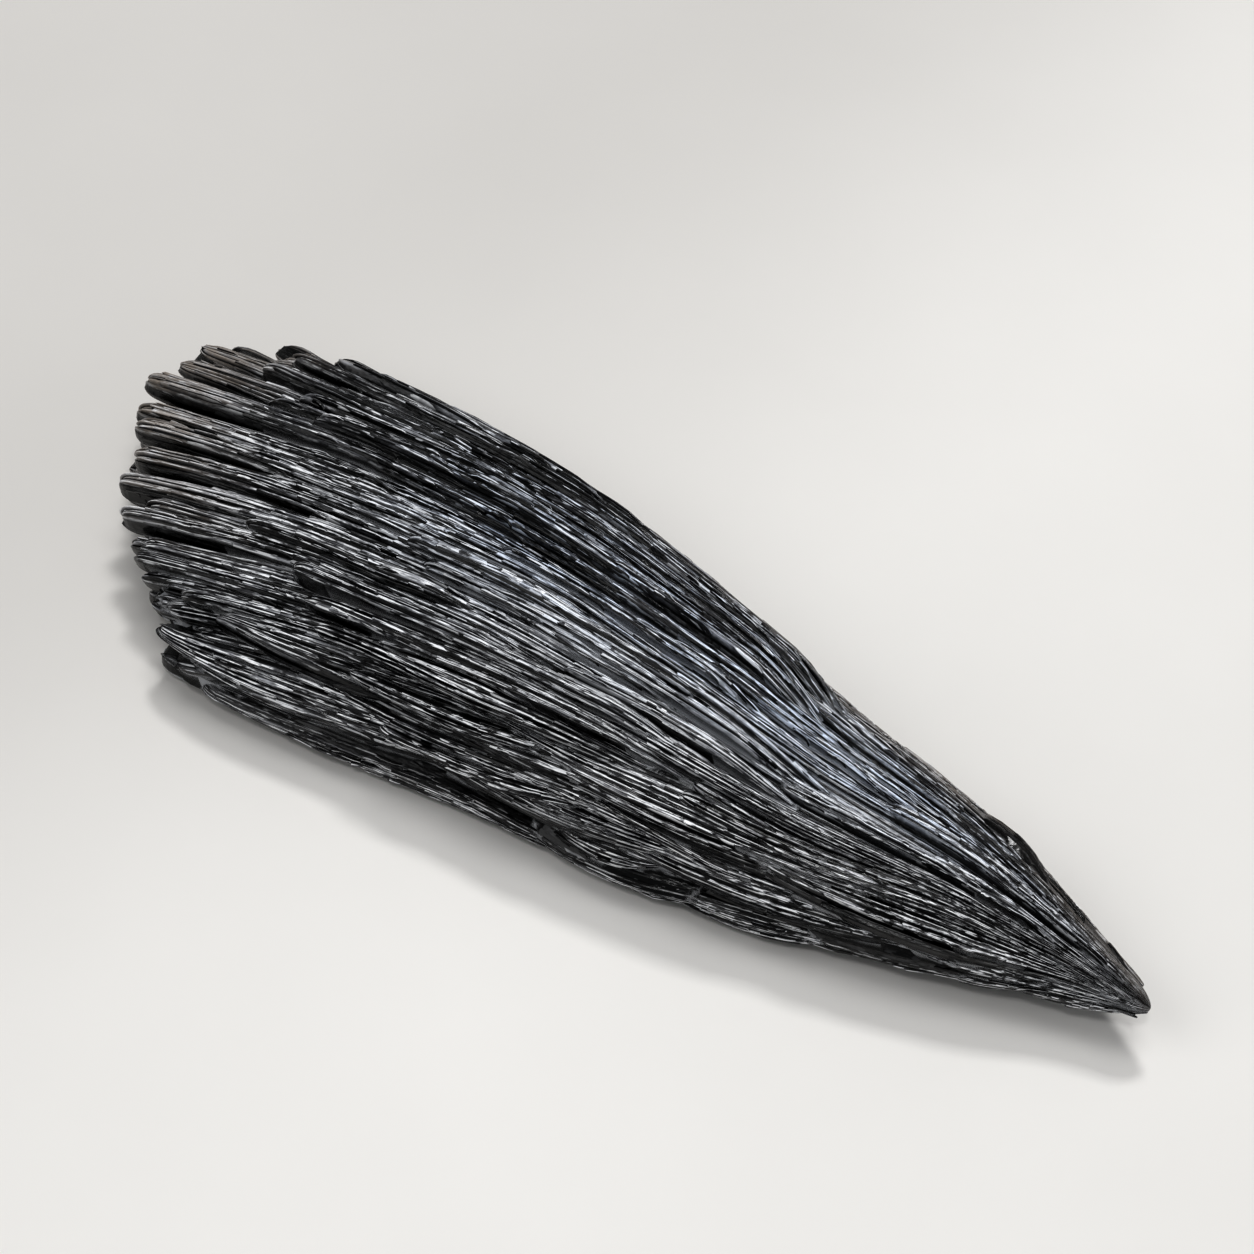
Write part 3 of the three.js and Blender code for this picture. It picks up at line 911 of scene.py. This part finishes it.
# A crystal's section: place across as a share of its width, and height in mm. It is a thin
# slab over a root, and its two long edges and its root count as grooves, which the material
# paints dark as shade.
SECTION = np.array([(-0.5, -0.14), (-0.34, 0.0), (0.32, 0.0), (0.5, -0.12), (0.0, -0.38)])
EDGE_MARK = np.array([-1.0, -0.4, 0.4, 1.0, 1.0])
CRYSTAL_STATIONS = 6
DENSITY = dict(top=0.68, bottom=0.22, heart=0.12, front=0.42, back=0.42)
COVERED = 0.62  # share of a blade's length times width that takes crystals
TRIES = 1.6  # tries for each crystal, as those off a blade's narrow parts are left out
CRYSTAL_LENGTH = (1.4, 18)
LENGTH_GAMMA = (2.0, 2.6)  # its spread, as a gamma distribution's shape and scale
STRAND_MIDDLE = (0.38, 0.62)  # where across its strand a crystal lies
STRAND_SHARE = (0.55, 1.0)  # how much of the strand's width it takes
NARROW_END = 0.35
RISEN_AT = 0.3  # share of its length by which it has come out
CRYSTAL_WIDTH = (0.1, 0.8)
CRYSTAL_HEIGHT = (0.02, 0.15)  # how far it stands out of the blade where it breaks off
CRYSTAL_BURIED = -0.22  # where it starts
CRYSTAL_TILT = 0.28
BROKEN_MM = 0.25  # how ragged its broken end is
CLEAR_OF_END = 0.9  # how far it stays from a blade's end, head and hidden start
CLEAR_OF_HEAD = 1.5
CLEAR_OF_DIVE = 5
LEAST_ROOM = 1.5  # how far short of that a crystal breaks off at least


def cover(blade, maker):
    """Thin flat crystals that rise out of single strands and break off towards the fan."""
    b = blade.spec
    low = b["end"] + CLEAR_OF_END
    high = b["start"] - (CLEAR_OF_DIVE if b["dive"] else CLEAR_OF_HEAD)
    area = blade.widest * blade.length * COVERED
    tries = int(area * DENSITY[b["place"]] * TRIES)
    x1 = rng.uniform(low, high - LEAST_ROOM, tries)
    x1 = x1[rng.uniform(0, 1, tries) < blade.width_at(x1) / blade.widest]
    n = len(x1)
    if n == 0:
        return
    x0 = np.minimum(x1 + np.clip(rng.gamma(*LENGTH_GAMMA, n), *CRYSTAL_LENGTH), high)
    k = rng.integers(0, blade.strands, n)
    left, right = blade.edges[k], blade.edges[k + 1]
    s0 = mix(left, right, rng.uniform(*STRAND_MIDDLE, n))
    share = (right - left) * rng.uniform(*STRAND_SHARE, n)
    height = rng.uniform(*CRYSTAL_HEIGHT, n)
    roll = rng.normal(0, CRYSTAL_TILT, n)
    t = np.linspace(0, 1, CRYSTAL_STATIONS)
    x = mix(x0[:, None], x1[:, None], t)
    spine, along, side, up, local, mark = blade.skin(x, np.broadcast_to(s0[:, None], x.shape))
    taper = mix(NARROW_END, 1, np.sqrt(np.sin(math.pi * np.clip(t, 0.04, 0.8) / 1.6)))
    w = np.clip(share[:, None] * local[..., 0], *CRYSTAL_WIDTH) * taper
    h = mix(CRYSTAL_BURIED, height[:, None], smooth(0, RISEN_AT, t))
    c, d = np.cos(roll)[:, None, None], np.sin(roll)[:, None, None]
    over = side * c + up * d
    out = up * c - side * d
    grid = (
        spine[:, :, None]
        + over[:, :, None] * (SECTION[:, 0] * w[:, :, None])[..., None]
        + out[:, :, None] * (SECTION[:, 1] + h[:, :, None])[..., None]
    )
    grid[:, -1] += along[:, -1, None] * rng.uniform(-BROKEN_MM, BROKEN_MM, (n, len(SECTION), 1))
    grid[..., 2] = np.maximum(grid[..., 2], 0.0)
    wide = np.clip(share * blade.widest, *CRYSTAL_WIDTH)[:, None, None]
    over = SECTION[:, 0] * wide + rng.uniform(0, NOISE_ROOM, (n, 1, 1))
    strand = side_by_side(grain_x(x)[:, :, None], over, SECTION[:, 1])
    own = rng.uniform(0, 1, n)[:, None, None]
    maker.lofts(grid, strand, side_by_side(EDGE_MARK, mark[..., 1:2], own))


crystals = dict(top=MeshMaker(), side=MeshMaker())
for blade in blades:
    cover(blade, crystals["top" if blade.spec["place"] == "top" else "side"])
fine_meshes = [maker.build(f"kyanite_fine_{where}") for where, maker in crystals.items()]

# ---------- into the CAD box

BOX_MARGIN = 0.00025  # share of the box's size that stays free on each side


meshes = [body_mesh, *fine_meshes]
low, high = (np.array(c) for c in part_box("kyanite_fan"))
everything = np.concatenate([coordinates(m) for m in meshes])
box_low, box_high = everything.min(0), everything.max(0)
scale = (high - low) * (1 - 2 * BOX_MARGIN) / (box_high - box_low)
for mesh in meshes:
    co = (coordinates(mesh) - box_low) * scale + low + (high - low) * BOX_MARGIN
    mesh.vertices.foreach_set("co", co.astype(np.float32).ravel())
    mesh.update()

# ---------- where the markings go

FLANK_FROM = 0.6
# The flow line of the painted highlight along the top, as (x, flow).
RIDGE_FLOW = [(-50, 0.1), (-30, 0.05), (-12, -0.1), (6, -0.38), (20, -0.05), (32, 0), (50, 0)]
ridge_flow = curve_through(RIDGE_FLOW)

# How much each zone adds to how silvery the crystal is and to how many painted glints it has.
# The ridge and sheen zones add painted highlight, the front flank zone takes it away as painted
# shade.
SILVER_AND_PAINTED_LIGHT = dict(plain=0.34, ridge_highlight=0.75, painted_sheen=0.3, rim=1.7, flank_shade=-0.8, back=-0.02)
GLINT_WEIGHTS = dict(plain=0.34, ridge_highlight=0.6, painted_sheen=0.2, rim=0.6, flank_shade=0.05, back=-0.45)
MARKING_RANGE = (-0.4, 1.1)
EDGE_EARTH = 0.7


def band(flow, middle, half):
    """1 along a flow line, fading out to both sides of it."""
    return np.exp(-(((flow - middle) / half) ** 2))


def zones_at(x, y):
    """How far each place belongs to each zone of the surface, 0 to 1. The numbers are places
    along X in mm, and flow lines from -1 at the front to 1 at the back."""
    flow = 2 * (y - front_flow(x)) / np.maximum(flow_width(x), 1.5) - 1
    # The ridge zone is a painted highlight along the top.
    ridge_highlight = band(flow, ridge_flow(x), 0.3) * smooth(-36, 8, x) * mix(1, 0.45, smooth(26, 44, x))
    blue = band(flow, 0.3, 0.5) * smooth(-32, -8, x) * smooth(52, 26, x)
    return dict(
        plain=1.0,
        ridge_highlight=ridge_highlight,
        blue=blue,
        # The sheen zone is a painted sheen.
        painted_sheen=blue * smooth(-8, 10, x) * smooth(38, 22, x),
        rim=smooth(16, 2, x - fan_end(y)) * smooth(-12, 3, y),
        # The front flank zone is painted shade.
        flank_shade=smooth(-0.38, -0.88, flow) * smooth(-30, 0, x),
        back=smooth(0.0, 0.5, flow) * smooth(5, -18, x),
        back_rim=smooth(2.2, 0.4, back_edge(x) - y) * smooth(-20, 0, x),
    )


def zone_attributes(mesh):
    """Stores how silvery, earthy and blue each vertex is, and how many painted glints it has, by
    its place. The silvery value holds painted highlight and painted shade besides the crystal's own
    tone.
    """
    x, y, _ = (coordinates(mesh) / MM).T
    zones = zones_at(x, y)
    silver_and_painted_light, glint_amount = (
        np.clip(sum(weight * zones[zone] for zone, weight in weights.items()), *MARKING_RANGE)
        for weights in (SILVER_AND_PAINTED_LIGHT, GLINT_WEIGHTS)
    )
    earth = np.clip(zones["rim"] + EDGE_EARTH * zones["back_rim"], 0, 1)
    store(mesh, "glint_amount", glint_amount)
    store(mesh, "zone", side_by_side(silver_and_painted_light, earth, zones["blue"]))


def lay_flat(mesh):
    """A map of the surface for baking it: seen from above, from below, from the front and from
    the back, as four bands one above another at one scale."""
    _, facing_y, facing_z = read(mesh.polygons, "normal", 3).T
    middle_x, middle_y, _ = (read(mesh.polygons, "center", 3) / MM).T
    corners = read(mesh.polygons, "loop_total", 1, np.int32)[:, 0]
    vertex = read(mesh.loops, "vertex_index", 1, np.int32)[:, 0]
    outward = across(middle_x, middle_y)
    steep = np.abs(facing_y) > np.abs(facing_z)
    view = np.where(facing_z < 0, 1, 0)
    view = np.where(steep & (facing_y < 0) & (outward < -FLANK_FROM), 2, view)
    view = np.where(steep & (facing_y > 0) & (outward > FLANK_FROM), 3, view)
    view = np.repeat(view, corners)
    length, wide, tall = (high - low) / MM
    starts = np.cumsum([0, wide, wide, tall])[view]
    x, y, z = (coordinates(mesh)[vertex] / MM - low / MM).T
    u = x / length
    v = (starts + np.where(view < 2, y, z)) / (2 * wide + 2 * tall)
    layer = mesh.uv_layers.new(name="OFBake", do_init=False)
    layer.uv.foreach_set("vector", side_by_side(u, v).astype(np.float32).ravel())


for mesh in meshes:
    zone_attributes(mesh)
    lay_flat(mesh)


# ---------- materials


class Shading:
    """A new material around one Principled shader, with short ways to add nodes to it."""

    def __init__(self, name):
        self.material = bpy.data.materials.new(name)
        self.material.use_nodes = True
        self.tree = self.material.node_tree
        self.shader = self.tree.nodes["Principled BSDF"]

    def feed(self, socket, value):
        """Links a source to a socket, or sets the socket to a number, a colour or a vector."""
        if isinstance(value, bpy.types.NodeSocket):
            self.tree.links.new(value, socket)
        else:
            socket.default_value = (*value, 1) if socket.type == "RGBA" else value

    def node(self, kind, inputs=(), **values):
        """Adds a node with these settings and with these inputs fed."""
        made = self.tree.nodes.new(kind)
        for key, value in values.items():
            setattr(made, key, value)
        for key, value in dict(inputs).items():
            self.feed(made.inputs[key], value)
        return made

    def surface(self, **inputs):
        """Feeds inputs of the shader, named with _ for a space."""
        for key, value in inputs.items():
            self.feed(self.shader.inputs[key.replace("_", " ")], value)

    def noise(self, vector, scale, detail, roughness):
        return self.node("ShaderNodeTexNoise", dict(
            Vector=vector, Scale=scale, Detail=detail, Roughness=roughness)).outputs["Fac"]

    def ramp(self, source, stops):
        made = self.node("ShaderNodeValToRGB", dict(Fac=source))
        elements = made.color_ramp.elements
        while len(elements) < len(stops):
            elements.new(0.5)
        for element, (at, colour) in zip(elements, stops):
            element.position = at
            element.color = (*colour, 1)
        return made.outputs["Color"]

    def grey(self, source, stops):
        return self.ramp(source, [(at, (v, v, v)) for at, v in stops])

    def blend(self, kind, factor, a, b):
        inputs = {0: factor, 6: a, 7: b}
        return self.node("ShaderNodeMix", inputs, data_type="RGBA", blend_type=kind).outputs[2]

    def maths(self, operation, a, b=0.0, clamp=False):
        inputs = {0: a, 1: b}
        return self.node("ShaderNodeMath", inputs, operation=operation, use_clamp=clamp).outputs[0]

    def total(self, *terms):
        """The sum of some sources, each times its weight."""
        added = None
        for source, weight in terms:
            term = source if weight == 1 else self.maths("MULTIPLY", source, weight)
            added = term if added is None else self.maths("ADD", added, term)
        return added

    def attribute(self, name, output):
        return self.node("ShaderNodeAttribute", attribute_name=name).outputs[output]

    def parts_of(self, name):
        """The three numbers of a vector attribute."""
        vector = self.attribute(name, "Vector")
        return self.node("ShaderNodeSeparateXYZ", dict(Vector=vector)).outputs


# Noise drawn out along the growth: how fine it is per mm along, across and out of the growth,
# its detail and roughness, and where in the noise it lies.
STREAKS = dict(
    fine=((0.22, 3.0, 1.5), 4, 0.65, (0, 0, 0)),
    broad=((0.06, 0.22, 0.2), 2, 0.5, (5, 2, 8)),
    glint_dashes=((0.32, 6.2, 2.0), 2, 0.5, (21, 9, 4)),
    gaps=((0.55, 1.5, 1.0), 3, 0.6, (2, 7, 3)),
    glint_flakes=((0.8, 2.0, 1.0), 1, 0.5, (7, 3, 1)),
    patches=((0.09, 0.5, 0.3), 2, 0.5, (9, 6, 1)),
    soil=((0.5, 1.2, 1.0), 4, 0.65, (13, 1, 6)),
    bumps=((0.35, 3.6, 2.0), 3, 0.6, (3, 5, 2)),
)
CRYSTAL_GREYS = [
    (0.41, (0.001, 0.001, 0.0012)), (0.49, (0.009, 0.009, 0.010)), (0.60, (0.09, 0.091, 0.098)),
    (0.76, (0.50, 0.51, 0.54)),
]
CREST_HIGHLIGHT_GREYS = [
    (0.49, (0.15, 0.15, 0.16)), (0.56, (0.50, 0.51, 0.53)), (0.62, (0.97, 0.98, 1.0)),
]
GLINT_GREYS = [(0.30, (0.55, 0.56, 0.58)), (0.46, (0.97, 0.98, 1.0))]
BLUE_TINT = (0.86, 0.94, 1.07)
SOIL_BROWN = (0.31, 0.27, 0.235)
CRYSTAL_IOR = 1.6
CRYSTAL_SPECULAR = 0.32
BUMP_M = 0.00013


def kyanite_material(name):
    made = Shading(name)
    strand = made.attribute("strand", "Vector")

    def streaks(kind):
        scale, detail, roughness, offset = STREAKS[kind]
        drawn_out = made.node("ShaderNodeMapping", dict(Vector=strand, Scale=scale, Location=offset))
        return made.noise(drawn_out.outputs["Vector"], 1.0, detail, roughness)

    silver_and_painted_light, earth, blue = made.parts_of("zone")
    between, deep, own = made.parts_of("mark")
    glint_amount = made.attribute("glint_amount", "Fac")
    edge = made.maths("ABSOLUTE", between)

    # Dark crystal. Each piece of strand has its own grey, with finer streaks along it. The silvery
    # zone value adds the painted highlight and sheen, and the painted shade of the front flank.
    fine = streaks("fine")
    broad = streaks("broad")
    tone = made.total((own, 0.25), (silver_and_painted_light, 0.17), (fine, 1.1), (broad, 0.35))
    base = made.ramp(made.maths("SUBTRACT", tone, 0.4), CRYSTAL_GREYS)

    # Painted highlight: a broken grey line along the crest of each strand, whitest where it is
    # longest unbroken.
    gaps = made.total((streaks("gaps"), 1), (glint_amount, 0.10))
    crest_highlights = made.maths("MULTIPLY", made.grey(edge, [(0.12, 1.0), (0.26, 0.0)]),
                        made.grey(gaps, [(0.46, 0.0), (0.53, 1.0)]))
    base = made.blend("MIX", crest_highlights, base, made.ramp(gaps, CREST_HIGHLIGHT_GREYS))

    # Painted glints: silvery dashes where cleavage faces catch the light, drawn out along the
    # growth.
    level = made.total((streaks("glint_dashes"), 1), (glint_amount, 0.09), (own, 0.06), (broad, 0.20))
    glint_dashes = made.grey(level, [(0.735, 0.0), (0.76, 1.0)])
    base = made.blend("MIX", glint_dashes, base, made.ramp(streaks("glint_flakes"), GLINT_GREYS))

    # Patches of steel blue.
    patches = made.grey(streaks("patches"), [(0.4, 0.25), (0.58, 1.0)])
    base = made.blend("MULTIPLY", made.maths("MULTIPLY", blue, patches), base, BLUE_TINT)

    # Brownish grey where the blade ends are weathered.
    soil = made.grey(streaks("soil"), [(0.36, 0.25), (0.56, 0.9)])
    base = made.blend("MIX", made.maths("MULTIPLY", earth, soil, True), base, SOIL_BROWN)

    # Painted shade: black in the grooves and between blades, darker the deeper a place lies.
    groove = made.maths("MULTIPLY", made.grey(edge, [(0.5, 1.0), (0.78, 0.015)]),
                        made.grey(deep, [(0.15, 1.0), (0.75, 0.05)]))
    base = made.blend("MULTIPLY", 1.0, base, groove)

    gloss = made.grey(fine, [(0.35, 0.28), (0.65, 0.13)])
    bump = made.node("ShaderNodeBump", dict(Strength=1.0, Distance=BUMP_M, Height=streaks("bumps")))
    made.surface(Base_Color=base, Roughness=gloss, Normal=bump.outputs["Normal"],
                 IOR=CRYSTAL_IOR, Specular_IOR_Level=CRYSTAL_SPECULAR)
    return made.material


FLOOR_GREYS = [(0.3, (0.825, 0.81, 0.785)), (0.7, (0.88, 0.865, 0.84))]
FLOOR_ROUGHNESS = 0.75
FLOOR_GRAIN = 14.0
# Painted shade on the floor: darker towards its far left.
FAR_LEFT = (-0.956, 0.293, 0)  # the way in which the floor darkens, and from where to where
FADE_FROM_M = -0.01
FADE_TO_M = 0.06
PAINTED_SHADE_TINT = (0.80, 0.795, 0.79)
FLOOR_HALF_M = 3


def floor_material(name):
    """Pale plaster, with painted shade that darkens it gently towards its far left."""
    made = Shading(name)
    place = made.node("ShaderNodeTexCoord").outputs["Object"]
    plaster = made.ramp(made.noise(place, FLOOR_GRAIN, 6.0, 0.5), FLOOR_GREYS)
    leftward = made.node("ShaderNodeVectorMath", {0: place, 1: FAR_LEFT}, operation="DOT_PRODUCT")
    fade = made.node("ShaderNodeMapRange", {
        "Value": leftward.outputs["Value"], "From Min": FADE_FROM_M, "From Max": FADE_TO_M,
    }, interpolation_type="SMOOTHSTEP")
    shade = made.blend("MULTIPLY", fade.outputs["Result"], plaster, PAINTED_SHADE_TINT)
    made.surface(Base_Color=shade, Roughness=FLOOR_ROUGHNESS)
    return made.material


material = kyanite_material("black_kyanite")
for mesh in meshes:
    mesh.materials.clear()
    mesh.materials.append(material)
    obj = object_from(mesh)
    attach(obj, "root")
    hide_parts("kyanite_fan")

# ---------- floor, light and camera

floor_mesh = bpy.data.meshes.new("floor")
floor_mesh.from_pydata(
    [(x * FLOOR_HALF_M, y * FLOOR_HALF_M, 0) for x, y in ((-1, -1), (1, -1), (1, 1), (-1, 1))],
    [], [(0, 1, 2, 3)])
floor = object_from(floor_mesh)
floor_mesh.materials.append(floor_material("pale_floor"))

CAMERA_AZIMUTH = 28
CAMERA_ELEVATION = 50
CAMERA_DISTANCE = 0.290
CAMERA_LENS_MM = 100
TARGET = Vector((-0.0031, 0.006359, 0.0))

# Each light's azimuth and elevation in degrees, distance and size in metres, and power in watts.
LIGHTS = dict(
    window=(195, 58, 1.0, (0.18, 0.15), 3.3),
    overhead=(150, 80, 1.2, (0.6, 0.6), 4.3),
    fill=(-50, 42, 0.9, (0.6, 0.6), 1.8),
    glint=(20, 64, 1.0, (0.10, 0.10), 1.4),
)
SKY_COLOUR = (0.95, 0.97, 1.0, 1)
SKY_STRENGTH = 0.24
VIEW_GAMMA = 0.76


def aim_at_target(data, azimuth, elevation, distance):
    """Puts a camera or a light in a place in the sky, turned to the target. The angles are in
    degrees, and azimuth 0 is in front, at -Y."""
    azimuth, elevation = math.radians(azimuth), math.radians(elevation)
    direction = Vector((
        math.sin(azimuth) * math.cos(elevation),
        -math.cos(azimuth) * math.cos(elevation),
        math.sin(elevation),
    ))
    obj = object_from(data)
    obj.location = TARGET + direction * distance
    obj.rotation_euler = (TARGET - obj.location).to_track_quat("-Z", "Y").to_euler()
    return obj


camera_data = bpy.data.cameras.new("camera")
camera_data.lens = CAMERA_LENS_MM
camera_data.clip_start = 0.01
bpy.context.scene.camera = aim_at_target(
    camera_data, CAMERA_AZIMUTH, CAMERA_ELEVATION, CAMERA_DISTANCE)

for name, (azimuth, elevation, distance, size, power) in LIGHTS.items():
    data = bpy.data.lights.new(name, "AREA")
    data.shape = "RECTANGLE"
    data.size, data.size_y = size
    data.energy = power
    aim_at_target(data, azimuth, elevation, distance)

world = bpy.data.worlds.new("studio")
world.use_nodes = True
world.node_tree.nodes["Background"].inputs["Color"].default_value = SKY_COLOUR
world.node_tree.nodes["Background"].inputs["Strength"].default_value = SKY_STRENGTH
bpy.context.scene.world = world
view = bpy.context.scene.view_settings
view.view_transform = "Standard"
view.gamma = VIEW_GAMMA
